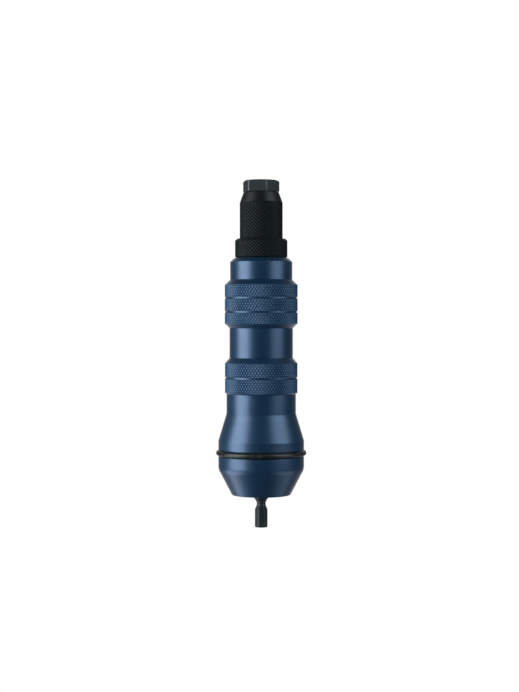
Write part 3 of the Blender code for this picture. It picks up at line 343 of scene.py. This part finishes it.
# Turned shapes. A profile lists (radius, height, rounding) in mm, and knurled stretches
def rounded(points, steps=4, hold=0.14):
    out = []
    count = len(points)
    for index, point in enumerate(points):
        if isinstance(point, dict):
            out.append(point)
            continue
        r, z, rounding = point
        before = points[index - 1]
        after = points[(index + 1) % count]
        if rounding <= 0 or isinstance(before, dict) or isinstance(after, dict):
            out.append((r, z))
            continue
        ux, uz = before[0] - r, before[1] - z
        vx, vz = after[0] - r, after[1] - z
        ul, vl = hypot(ux, uz), hypot(vx, vz)
        ux, uz, vx, vz = ux / ul, uz / ul, vx / vl, vz / vl
        half = acos(max(-1.0, min(1.0, ux * vx + uz * vz))) / 2
        reach = min(rounding / tan(half), 0.45 * ul, 0.45 * vl)
        size = reach * tan(half)
        middle = hypot(reach, size)
        bx, bz = ux + vx, uz + vz
        bl = hypot(bx, bz)
        cx, cz = r + bx / bl * middle, z + bz / bl * middle
        start = atan2(z + uz * reach - cz, r + ux * reach - cx)
        end = atan2(z + vz * reach - cz, r + vx * reach - cx)
        turn = (end - start + pi) % (2 * pi) - pi
        if ul > 2 * reach + 3 * hold:
            out.append((r + ux * (reach + hold), z + uz * (reach + hold)))
        for step in range(steps + 1):
            angle = start + turn * step / steps
            out.append((cx + size * cos(angle), cz + size * sin(angle)))
        if vl > 2 * reach + 3 * hold:
            out.append((r + vx * (reach + hold), z + vz * (reach + hold)))
    return out


def ringOf(shape, r, z, angles):
    if r < 1e-6:
        return [shape.verts.new((0, 0, z * mm))]
    return [shape.verts.new((r * cos(a) * mm, r * sin(a) * mm, z * mm)) for a in angles]


def skin(shape, low, high, shift=0):
    count = max(len(low), len(high))
    if 2 * min(len(low), len(high)) == count:                  # a knurled row meets a plain ring
        few, many = (low, high) if len(low) < len(high) else (high, low)
        for index in range(len(few)):
            across = [many[(2 * index + shift + step) % count] for step in (2, 1, 0)]
            shape.faces.new([few[index], few[(index + 1) % len(few)], *across])
        return
    for index in range(count):
        after = (index + 1) % count
        corners = []
        for vert in (low[index % len(low)], low[after % len(low)],
                     high[after % len(high)], high[index % len(high)]):
            if vert not in corners:
                corners.append(vert)
        if len(corners) > 2:
            shape.faces.new(corners)


def knurlRows(shape, first, stretch, count, edgeInset=0.14, edgeLand=0.32):
    # Crossed helical cuts leave rows of diamonds; each is a small pyramid with a flat land on top
    crest, depth, land = stretch["crest"], stretch["depth"], stretch["land"]
    low, high = stretch["from"], stretch["to"]
    last = max(2, round(2 * (high - low) / stretch["pitch"]))
    half = pi / count
    rise = (high - low) / last
    rows = [first]
    for row in range(1, last + 1):
        shift = half if row % 2 else 0.0
        rows.append(ringOf(shape, crest - depth, low + rise * row,
                           [2 * half * k + shift for k in range(count)]))

    def corner(i, row):
        return rows[row][((i - row % 2) // 2) % count]

    def pyramid(corners, centreAngle, centreHeight, share):
        top = []
        for vert in corners:
            angle = atan2(vert.co.y, vert.co.x)
            away = (angle - centreAngle + pi) % (2 * pi) - pi
            a = centreAngle + away * share
            z = centreHeight + (vert.co.z / mm - centreHeight) * share
            top.append(shape.verts.new((crest * cos(a) * mm, crest * sin(a) * mm, z * mm)))
        shape.faces.new(top).tag = True
        for index in range(len(corners)):
            after = (index + 1) % len(corners)
            shape.faces.new((corners[index], corners[after], top[after], top[index])).tag = True

    for row in range(last + 1):
        for i in range(2 * count):
            if (i + row) % 2 == 0:
                continue
            around = [(i - 1, row), (i, row - 1), (i + 1, row), (i, row + 1)]
            kept = [corner(a, b) for a, b in around if 0 <= b <= last]
            if row == 0:                                       # diamonds cut short by the edge
                pyramid(kept, half * i, low + rise * edgeInset, edgeLand)
            elif row == last:
                pyramid(kept, half * i, high - rise * edgeInset, edgeLand)
            else:
                pyramid(kept, half * i, low + rise * row, land)
    return rows[-1], last % 2


def finishShape(shape, name, crease=28, facet=8):
    bmesh.ops.recalc_face_normals(shape, faces=shape.faces)
    for face in shape.faces:
        face.smooth = True
    for edge in shape.edges:
        limit = facet if all(face.tag for face in edge.link_faces) else crease
        edge.smooth = edge.calc_face_angle(0.0) < radians(limit)
    mesh = bpy.data.meshes.new(name)
    shape.to_mesh(mesh)
    shape.free()
    return mesh


def place(name, mesh, material, body, slot, *nodes):
    piece = bpy.data.objects.new(name, mesh)
    bpy.context.scene.collection.objects.link(piece)
    mesh.materials.append(material)
    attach(piece, body)
    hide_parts(*nodes)
    return piece


def turnedShape(profile, sides, angles=None):
    angles = angles or [2 * pi * k / sides for k in range(sides)]
    shape = bmesh.new()
    rings = []
    for item in rounded(profile):
        if isinstance(item, dict):
            first = ringOf(shape, item["crest"] - item["depth"], item["from"], angles[::2])
            last, shift = knurlRows(shape, first, item, sides // 2)
            rings.append((first, 0, True))
            rings.append((last, shift, False))                 # the diamonds already join these two
        else:
            rings.append((ringOf(shape, item[0], item[1], angles), 0, True))
    for index, (ring, _, joined) in enumerate(rings):
        if joined:
            below, shift, _ = rings[index - 1]
            skin(shape, below, ring, shift)
    return shape


def cutAway(piece, cutterMesh):
    # Takes the cutter out of the piece and leaves plain mesh behind
    cutter = bpy.data.objects.new("cutter", cutterMesh)
    bpy.context.scene.collection.objects.link(cutter)
    modifier = piece.modifiers.new("cut", "BOOLEAN")
    modifier.operation = "DIFFERENCE"
    modifier.solver = "EXACT"
    modifier.object = cutter
    bpy.context.view_layer.update()
    depsgraph = bpy.context.evaluated_depsgraph_get()
    result = bpy.data.meshes.new_from_object(piece.evaluated_get(depsgraph))
    piece.modifiers.clear()
    piece.data = result
    bpy.data.objects.remove(cutter)


# End cap: the cone behind the bearing
endCap = {
    "sides": 120,
    "cone": [(4.32, 18.05, 0.15), (16.26, 18.05, 0.6), (23.75, 32.35, 7.0), (23.75, 39.65, 0.45)],
    "spigot": [(21.7, 39.65, 0), (21.7, 43.0, 0), (20.6, 43.0, 0), (20.6, 48.0, 0.5), (18.6, 48.0, 0),
               (18.6, 32.5, 0)],
    "bearingSeat": [(13.3, 32.5, 0), (13.3, 31.9, 0), (14.3, 31.9, 0), (14.3, 30.3, 0), (13.3, 30.3, 0),
                    (13.3, 22.0, 0), (10.2, 22.0, 0), (10.2, 21.2, 0), (4.32, 21.2, 0)],
}


def buildEndCap():
    profile = endCap["cone"] + endCap["spigot"] + endCap["bearingSeat"]
    shape = turnedShape(profile, endCap["sides"])
    place("endCapTurned", finishShape(shape, "endCapTurned"), blueTurned, "housing", "anodised_shell",
          "end_cap")


# Seam ring
seamRing = {"radius": 23.45, "wide": 3.2, "tall": 3.1, "height": 41.35, "around": 120, "across": 24}


def buildSeamRing():
    part = seamRing
    profile = []
    for step in range(part["across"]):
        angle = 2 * pi * step / part["across"]
        profile.append((part["radius"] + part["wide"] / 2 * cos(angle),
                        part["height"] + part["tall"] / 2 * sin(angle), 0))
    shape = turnedShape(profile, part["around"])
    place("seamRingRound", finishShape(shape, "seamRingRound", 60), rubber, "housing", "seal_rubber",
          "seam_o_ring")


# Rear housing: bell, neck and the knurled band in two halves
blueKnurl = {"around": 75, "pitch": 2.65, "depth": 0.25, "land": 0.24}


def knurled(kind, crest, low, high):
    return {"crest": crest, "depth": kind["depth"], "land": kind["land"], "pitch": kind["pitch"],
            "from": low, "to": high}


bandGroove = {"half": 0.45, "floorHalf": 0.36, "depth": 0.38}


def bandWithGrooves(kind, crest, band, grooves):
    floor = crest - bandGroove["depth"]
    stretches = []
    start = band[0]
    for middle in grooves:
        stretches.append(knurled(kind, crest, start, middle - bandGroove["half"]))
        stretches.append((floor, middle - bandGroove["floorHalf"], 0))
        stretches.append((floor, middle + bandGroove["floorHalf"], 0))
        start = middle + bandGroove["half"]
    stretches.append(knurled(kind, crest, start, band[1]))
    return stretches


rearHousing = {
    "band": (74.6, 91.25),
    "crest": 20.09,
    "grooves": [82.95],
    "bell": [(20.9, 43.3, 0), (22.1, 43.3, 0), (22.1, 42.95, 0), (23.75, 42.95, 0.5), (23.75, 48.1, 0.5),
             (19.22, 63.1, 0.5), (19.22, 73.95, 0)],
    "inside": [(17.54, 93.92, 0.12), (15.3, 93.92, 0), (15.3, 67.7, 0), (7.8, 67.7, 0), (7.8, 61.9, 0),
               (16.0, 61.9, 0), (16.0, 52.0, 0), (18.6, 50.0, 0), (18.6, 48.3, 0), (20.9, 48.3, 0)],
}


def buildRearHousing():
    part = rearHousing
    band = bandWithGrooves(blueKnurl, part["crest"], part["band"], part["grooves"])
    shape = turnedShape(part["bell"] + band + part["inside"], 2 * blueKnurl["around"])
    place("rearHousingKnurled", finishShape(shape, "rearHousingKnurled"), blueKnurledRear, "housing",
          "anodised_shell", "rear_housing")


# Front housing: middle, the knurled band in three parts and the front ring
frontHousing = {
    "band": (112.75, 134.5),
    "crest": 20.17,
    "grooves": [119.35, 127.1],
    "middle": [(12.6, 71.3, 0), (15.0, 71.3, 0.1), (15.0, 93.98, 0), (17.54, 93.98, 0.12),
               (17.54, 110.35, 0.3)],
    "ring": [(17.18, 137.2, 0.3), (17.18, 147.0, 0.25), (14.98, 149.1, 0.3)],
    "inside": [(11.8, 149.1, 0.12), (11.8, 133.5, 0), (12.6, 133.5, 0)],
    "pinHole": 1.8,            # radius of the hole across the wall that holds the pin
    "pinHeight": 88.5,
    "pinDepth": 4,
    "pinReach": 13.8,
}


def buildFrontHousing():
    part = frontHousing
    band = bandWithGrooves(blueKnurl, part["crest"], part["band"], part["grooves"])
    profile = part["middle"] + band + part["ring"] + part["inside"]
    shape = turnedShape(profile, 2 * blueKnurl["around"])
    piece = place("frontHousingKnurled", finishShape(shape, "frontHousingKnurled"), blueKnurledFront,
                  "housing", "anodised_shell", "front_housing")
    drill = bmesh.new()
    bmesh.ops.create_cone(drill, cap_ends=True, segments=32, depth=part["pinDepth"] * mm,
                          radius1=part["pinHole"] * mm, radius2=part["pinHole"] * mm)
    for vert in drill.verts:
        vert.co = (vert.co.z + part["pinReach"] * mm, vert.co.y, part["pinHeight"] * mm - vert.co.x)
    cutAway(piece, finishShape(drill, "pinDrill"))


# Nose sleeve and lock ring
blackKnurl = {"around": 36, "pitch": 1.98, "depth": 0.20, "land": 0.28}
ringKnurl = {"around": 44, "pitch": 1.98, "depth": 0.20, "land": 0.28}
noseSleeve = {
    "crest": 11.86,
    "from": 159.5,
    "to": 179.8,
    "thread": [(9.9, 135.0, 0), (11.5, 135.0, 0.3), (11.5, 159.3, 0), (11.61, 159.3, 0)],
    "cone": [(11.76, 180.0, 0), (9.77, 185.4, 0.3)],
    "inside": [(7.9, 185.4, 0.15), (7.9, 172.8, 0), (9.9, 172.8, 0)],
}


def buildNoseSleeve():
    part = noseSleeve
    band = [knurled(blackKnurl, part["crest"], part["from"], part["to"])]
    profile = part["thread"] + band + part["cone"] + part["inside"]
    shape = turnedShape(profile, 2 * blackKnurl["around"])
    place("noseSleeveKnurled", finishShape(shape, "noseSleeveKnurled"), blackKnurledSleeve, "nose",
          "black_steel", "nose_sleeve")


lockRing = {
    "crest": 14.49,
    "from": 149.7,
    "to": 158.85,
    "rear": [(11.8, 149.4, 0), (13.99, 149.4, 0)],
    "front": [(13.5, 159.7, 0.2), (11.8, 159.8, 0.1)],
}


def buildLockRing():
    part = lockRing
    band = [knurled(ringKnurl, part["crest"], part["from"], part["to"])]
    shape = turnedShape(part["rear"] + band + part["front"], 2 * ringKnurl["around"])
    place("lockRingKnurled", finishShape(shape, "lockRingKnurled"), blackKnurledRing, "lock_ring",
          "black_steel", "lock_ring")


# Hexagonal pieces: turned to the corners, then milled to the flats
def hexAngles(cornerHalf, between):
    angles = []
    for side in range(6):
        corner = side * pi / 3
        angles += [corner - cornerHalf, corner, corner + cornerHalf]
        span = pi / 3 - 2 * cornerHalf
        angles += [corner + cornerHalf + span * k / between for k in range(1, between)]
    return sorted(a % (2 * pi) for a in angles)


def hexLayout(part):
    # Sharp corner radius, the radius the corners are turned down to, and the angles between
    corner = part["flats"] / 2 / cos(pi / 6)
    cut = corner - part["cornerCut"]
    cornerHalf = pi / 6 - acos(part["flats"] / 2 / cut)
    return corner, cut, hexAngles(cornerHalf, part["between"])


def turnOnAxis(shape, degrees):
    turn = Matrix.Rotation(radians(degrees), 3, "Z")
    bmesh.ops.rotate(shape, verts=shape.verts, cent=(0, 0, 0), matrix=turn)


def hexReach(flats, angle):
    return flats / 2 / cos(angle % (pi / 3) - pi / 6)


def millFlats(shape, flats, cornerRadius, low, high, chamferFrom=None, slope=0.0):
    for vert in shape.verts:
        z = vert.co.z / mm
        radius = hypot(vert.co.x, vert.co.y) / mm
        reach = min(hexReach(flats, atan2(vert.co.y, vert.co.x)), cornerRadius)
        if not low - 1e-4 <= z <= high + 1e-4 or radius <= reach + 1e-6:
            continue
        vert.co.x *= reach / radius
        vert.co.y *= reach / radius
        if chamferFrom is not None and abs(z - chamferFrom) < 1e-3:
            vert.co.z += (radius - reach) * slope * mm


nosepiece = {
    "flats": 18.0, "cornerCut": 0.16, "turn": -13.3, "front": 192.0, "hexRear": 185.7,
    "topRadius": 8.75, "slope": tan(radians(32)), "between": 6, "edgeBreak": 0.09,
    "tube": [(1.6, 166.6, 0), (3.2, 166.6, 0.3), (3.2, 173.1, 0), (7.6, 173.1, 0.4), (7.6, 185.7, 0)],
    "mouth": [(2.4, 192.0, 0.1), (1.6, 191.2, 0.1)],
}


def buildNosepiece():
    part = nosepiece
    corner, cut, angles = hexLayout(part)
    chamferFrom = part["front"] - (corner - part["topRadius"]) * part["slope"]
    hexEnd = [(corner, part["hexRear"], 0), (corner, chamferFrom, 0), (part["topRadius"], part["front"], 0)]
    shape = turnedShape(part["tube"] + hexEnd + part["mouth"], 0, angles)
    millFlats(shape, part["flats"], cut, part["hexRear"], chamferFrom, chamferFrom, part["slope"])
    turnOnAxis(shape, part["turn"])
    piece = place("nosepieceHex", finishShape(shape, "nosepieceHex", 22), blackHex, "nosepiece",
                  "black_steel", "nosepiece")
    bevel = piece.modifiers.new("brokenEdges", "BEVEL")
    bevel.width = part["edgeBreak"] * mm
    bevel.segments = 2
    bevel.limit_method = "ANGLE"
    bevel.angle_limit = radians(25)
    bevel.harden_normals = True


# Drive spindle: hex shank, waist and collar outside; journal and driver plate inside
driveSpindle = {
    "flats": 6.35, "cornerCut": 0.17, "turn": 5.2, "hexEnd": 10.0, "endRound": 0.75, "between": 5,
    "waistRadius": 2.44, "waistHeight": 12.8, "collarRadius": 4.02, "collarFrom": 16.3,
    "pocketPitch": 13.0, "pocketRadius": 3.3, "pocketHeight": 37.5, "pockets": 6,
    "endFlat": 0.25, "waistCut": 0.9, "waistKeep": 0.85, "waistCurve": 1.5,
    "journal": [(4.02, 22.0, 0), (4.7, 22.0, 0), (4.7, 30.6, 0), (6.2, 30.6, 0), (6.2, 33.0, 0)],
    "driverPlate": [(18.2, 33.0, 0.6), (18.2, 38.4, 0.15), (3.8, 38.4, 0), (3.8, 35.0, 0), (0, 35.0, 0)],
}


def buildDriveSpindle():
    part = driveSpindle
    corner, cut, angles = hexLayout(part)
    profile = [(0, 0, 0), (part["flats"] / 2 - part["endFlat"], 0, 0)]
    for step in range(1, 6):                                   # the rounded end of the hex
        angle = pi / 2 * step / 5
        inset = part["endRound"] * (1 - sin(angle))
        profile.append((corner - inset, part["endRound"] * (1 - cos(angle)), 0))
    profile.append((corner, part["hexEnd"], 0))
    slim, narrow = part["waistRadius"], part["waistHeight"]
    for step in range(1, 11):                                  # hex down to the waist
        share = (1 - step / 10) * part["waistKeep"]
        climb = (corner - slim) * part["waistCut"] * share ** part["waistCurve"]
        profile.append((slim + climb, narrow - (narrow - part["hexEnd"]) * share, 0))
    for step in range(1, 9):                                   # waist up to the collar
        share = step / 8
        profile.append((slim + (part["collarRadius"] - slim) * share ** 2,
                        narrow + (part["collarFrom"] - narrow) * share, 0))
    shape = turnedShape(profile + part["journal"] + part["driverPlate"], 0, angles)
    millFlats(shape, part["flats"], cut, 0.0, part["hexEnd"])
    turnOnAxis(shape, part["turn"])
    piece = place("driveSpindleHex", finishShape(shape, "driveSpindleHex", 24), blackShank, "drive",
                  "black_steel", "drive_spindle")
    pockets = bmesh.new()
    for index in range(part["pockets"]):
        ball = bmesh.ops.create_icosphere(pockets, subdivisions=3, radius=part["pocketRadius"] * mm)
        angle = 2 * pi * index / part["pockets"]
        for vert in ball["verts"]:
            vert.co.x += part["pocketPitch"] * mm * cos(angle)
            vert.co.y += part["pocketPitch"] * mm * sin(angle)
            vert.co.z += part["pocketHeight"] * mm
    cutAway(piece, finishShape(pockets, "ballPockets"))


# knurl rubbing sets the lighter knurl tops: rubbing wear and painted highlight
blackToneWearAndHighlight = {"noseTone": 1.7, "shankTone": 2.1, "shankRubbing": 0.5,
             "knurlTone": 0.75, "knurlRubbingAndHighlight": 0.24}


def blackKnurled(name, kind, part):
    return blackenedFinish(name, (part["crest"], kind["depth"], part["from"], part["to"]),
                           blackToneWearAndHighlight["knurlRubbingAndHighlight"], blackToneWearAndHighlight["knurlTone"])


blueTurned = anodisedFinish("blueAnodised")
blueKnurledRear = anodisedFinish(
    "blueKnurledRear", (rearHousing["crest"], blueKnurl["depth"], *rearHousing["band"]))
blueKnurledFront = anodisedFinish(
    "blueKnurledFront", (frontHousing["crest"], blueKnurl["depth"], *frontHousing["band"]))
blackPlain = blackenedFinish("blackOxide")
blackHex = blackenedFinish("blackNosepiece", tone=blackToneWearAndHighlight["noseTone"], corner=hexLayout(nosepiece)[1])
blackShank = blackenedFinish("blackShank", rubbingAndHighlight=blackToneWearAndHighlight["shankRubbing"], tone=blackToneWearAndHighlight["shankTone"])
blackKnurledSleeve = blackKnurled("blackKnurledSleeve", blackKnurl, noseSleeve)
blackKnurledRing = blackKnurled("blackKnurledRing", ringKnurl, lockRing)
rubber = rubberFinish()
bare = {name: bareMetalFinish(name) for name in bareMetals}

for build in (buildEndCap, buildSeamRing, buildRearHousing, buildFrontHousing, buildNoseSleeve,
              buildLockRing, buildNosepiece, buildDriveSpindle):
    build()
print("outer pieces built")

# The mechanism inside keeps its solids and gets its metals
insideFinish = {
    "ground_steel": bare["groundSteel"], "spring_steel": bare["springSteel"],
    "cage_bronze": bare["cageBronze"], "black_steel": blackPlain,
    "anodised_shell": blueTurned, "seal_rubber": rubber,
}
for row in frame["record"]["subparts"]:
    solid = frame["nodes"][row["node"]]
    if not solid.hide_render:
        solid.data.materials.clear()
        solid.data.materials.append(insideFinish[row["material_slot"]])

# The pair of disc springs, which flattens against its seat as the clutch plate rides up its balls, each get
# a mesh of their own
for name in ("disc_spring_1", "disc_spring_2"):
    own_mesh(frame["nodes"][name])
print("mechanism finished")

# Studio
studio = {
    "floorHeight": -0.48, "wallAt": 1.3, "wallTop": 2.2, "frontEdge": -1.6, "halfWidth": 1.9,
    "bend": 0.5, "bendSteps": 16,
    "card": (0.82, 0.82, 0.82, 1),
    "ambient": 0.17, "ambientGloss": 0.03, "frontDim": 0.03, "backDim": 0.13,
    "rearFrom": 0.2, "rearTo": 0.8,                 # metres behind the part where the wall light sets in
    "behindFrom": 0.03, "behindTo": 0.40,           # and its fall to the sides, square metres
    "lit": (0.0, 0.0, 0.1),                         # the lamps point here
}


def buildSweep():
    part = studio
    section = [(part["frontEdge"], part["floorHeight"])]
    for step in range(part["bendSteps"] + 1):
        angle = pi / 2 * step / part["bendSteps"]
        section.append((part["wallAt"] - part["bend"] + part["bend"] * sin(angle),
                        part["floorHeight"] + part["bend"] * (1 - cos(angle))))
    section.append((part["wallAt"], part["wallTop"]))
    shape = bmesh.new()
    left = [shape.verts.new((-part["halfWidth"], y, z)) for y, z in section]
    right = [shape.verts.new((part["halfWidth"], y, z)) for y, z in section]
    for index in range(len(section) - 1):
        shape.faces.new((left[index], right[index], right[index + 1], left[index + 1]))
    finish = Finish(bpy.data.materials.new("paleSweep"))
    x, y, _ = finish.split(finish.node("ShaderNodeNewGeometry", out="Position"))
    # Seen or mirrored, the wall behind is white; what is mirrored from the front stays dim
    rear = finish.spread(y, part["rearFrom"], part["rearTo"])
    behind = rear * finish.spread(x * x, part["behindFrom"], part["behindTo"], 1.0, 0.0)
    eye, gloss, through = finish.node(
        "ShaderNodeLightPath", out=["Is Camera Ray", "Is Glossy Ray", "Is Transmission Ray"])
    dim = finish.blend(rear, (part["frontDim"],) * 3, (part["backDim"],) * 3)
    shown = finish.blend(eye + (1 - eye) * behind, dim, (1.0, 1.0, 1.0))
    card = finish.node("ShaderNodeBsdfDiffuse", None, {"Color": part["card"]})
    glow = finish.node("ShaderNodeEmission", None, {"Color": shown, "Strength": 1.0})
    mixed = finish.node("ShaderNodeMixShader", None, {0: eye + gloss + through, 1: card, 2: glow})
    sweep = bpy.data.objects.new("paleSweep", finishShape(shape, "paleSweep"))
    sweep.data.materials.append(finish.output(mixed))
    bpy.context.scene.collection.objects.link(sweep)


softBoxes = [
    {"name": "softBoxLeft", "azimuth": -67, "elevation": 10, "distance": 0.75, "wide": 0.64, "tall": 0.76,
     "power": 7.1, "colour": (0.98, 0.98, 0.97)},
    {"name": "softBoxRight", "azimuth": 60, "elevation": 24, "distance": 0.80, "wide": 0.66, "tall": 0.76,
     "power": 3.9, "colour": (0.90, 0.98, 1.0)},
    {"name": "bounceLeft", "azimuth": -86, "elevation": -37, "distance": 0.70, "wide": 0.58, "tall": 0.30,
     "power": 1.7, "colour": (1.0, 0.97, 1.0)},
    {"name": "bounceRight", "azimuth": 76, "elevation": -39, "distance": 0.70, "wide": 0.60, "tall": 0.30,
     "power": 0.6, "colour": (0.95, 0.98, 1.0)},
]


def buildLights():
    x, y, z = studio["lit"]
    for box in softBoxes:
        lamp = bpy.data.lights.new(box["name"], "AREA")
        lamp.shape = "RECTANGLE"
        lamp.size = box["wide"]
        lamp.size_y = box["tall"]
        lamp.energy = box["power"]
        lamp.color = box["colour"]
        azimuth, elevation = radians(box["azimuth"]), radians(box["elevation"])
        reach = box["distance"]
        stand = bpy.data.objects.new(box["name"], lamp)
        stand.location = (x + reach * sin(azimuth) * cos(elevation),
                          y - reach * cos(azimuth) * cos(elevation),
                          z + reach * sin(elevation))
        stand.rotation_euler = (pi / 2 - elevation, 0, azimuth)
        bpy.context.scene.collection.objects.link(stand)


def buildWorld():
    world = bpy.data.worlds.new("studioAir")
    bpy.context.scene.world = world
    finish = Finish(world)
    room, mirrored, seen = (
        finish.node("ShaderNodeBackground", None, {"Color": (1, 1, 1, 1), "Strength": strength})
        for strength in (studio["ambient"], studio["ambientGloss"], 1.0))
    eye, gloss = finish.node("ShaderNodeLightPath", out=["Is Camera Ray", "Is Glossy Ray"])
    air = finish.node("ShaderNodeMixShader", None, {0: gloss, 1: room, 2: mirrored})
    air = finish.node("ShaderNodeMixShader", None, {0: eye, 1: air, 2: seen})
    finish.output(air, "ShaderNodeOutputWorld")


view = {"x": -0.00095, "height": 0.118, "aimHeight": 0.1005, "distance": 0.870, "lens": 81.74}


def buildCamera():
    data = bpy.data.cameras.new("camera")
    data.lens = view["lens"]
    data.sensor_width = 36
    data.sensor_fit = "AUTO"
    data.clip_start = 0.01
    data.clip_end = 20
    camera = bpy.data.objects.new("camera", data)
    camera.location = (view["x"], -view["distance"], view["height"])
    camera.rotation_euler = (pi / 2 - atan2(view["height"] - view["aimHeight"], view["distance"]), 0, 0)
    bpy.context.scene.collection.objects.link(camera)
    bpy.context.scene.camera = camera


buildSweep()
buildLights()
buildWorld()
buildCamera()
bpy.context.scene.view_settings.view_transform = "Standard"
print("studio ready")
